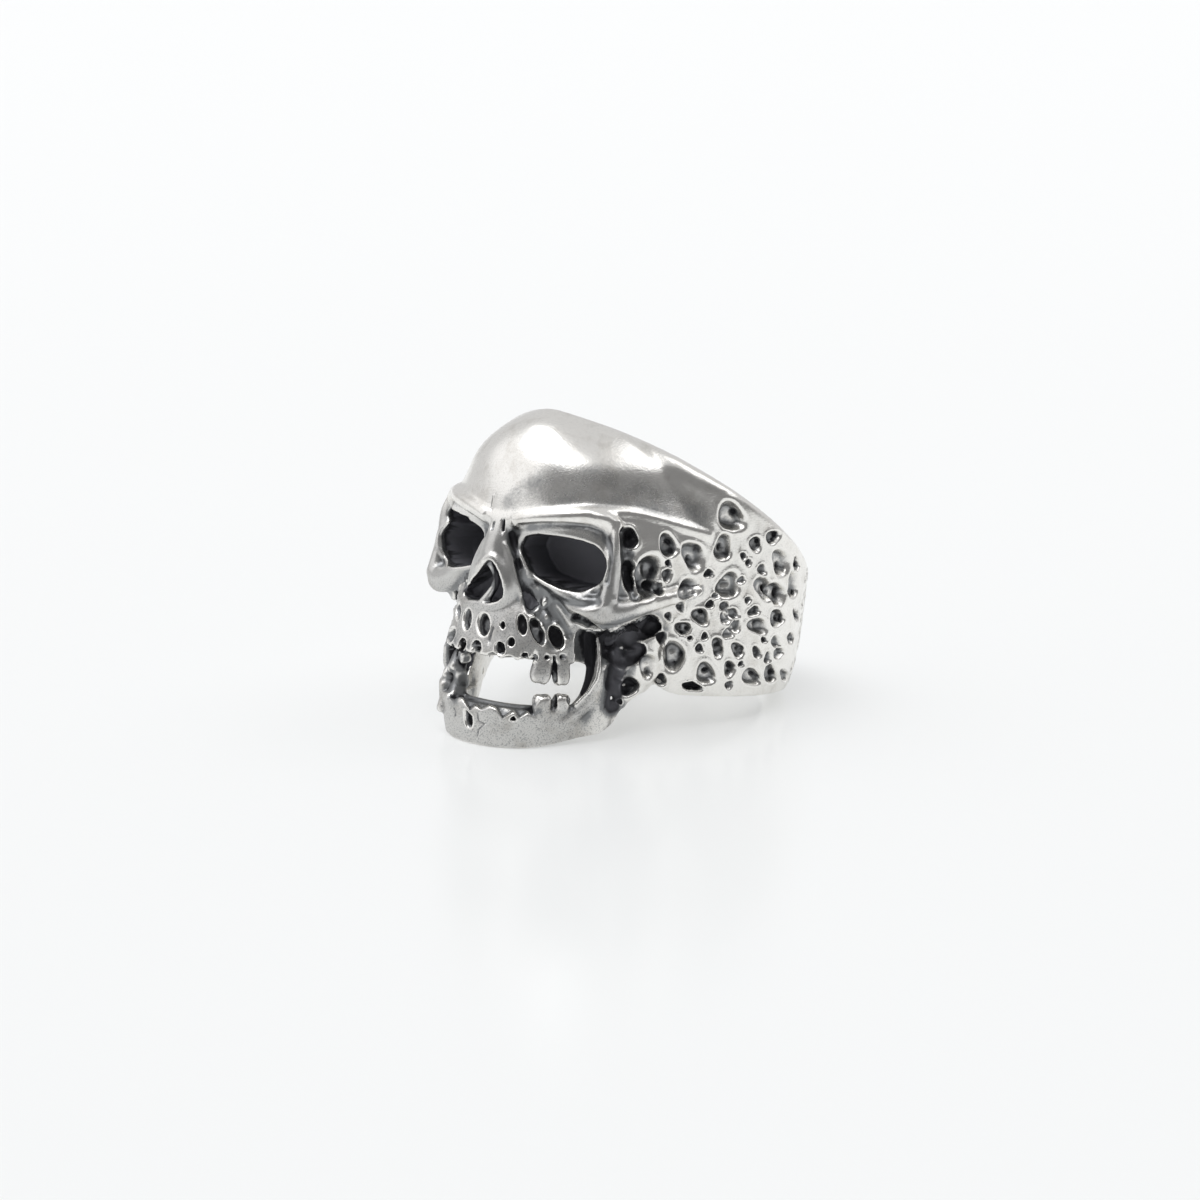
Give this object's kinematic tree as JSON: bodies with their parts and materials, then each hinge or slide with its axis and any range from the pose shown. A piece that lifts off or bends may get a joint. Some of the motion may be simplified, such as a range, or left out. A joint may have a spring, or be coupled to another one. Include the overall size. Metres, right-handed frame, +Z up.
{
  "type": "skull ring",
  "caption": "Heavy oxidised silver finger ring: a wide cratered band whose front rises into a skull with deep orbits, broken teeth and a fixed lower jaw.",
  "frame": {"origin": "middle of the ring's box, on the surface that it lies on", "axes": "+Z up, the face looks along -Y, the finger hole leans back by about 8.6 degrees from +Z towards +Y"},
  "size_m": [0.0254, 0.0348, 0.0257],
  "materials": {
    "silver": "oxidised sterling silver, black in the recesses and polished on the high points"
  },
  "bodies": {
    "root": {"skull_ring": "silver"}
  },
  "joints": []
}
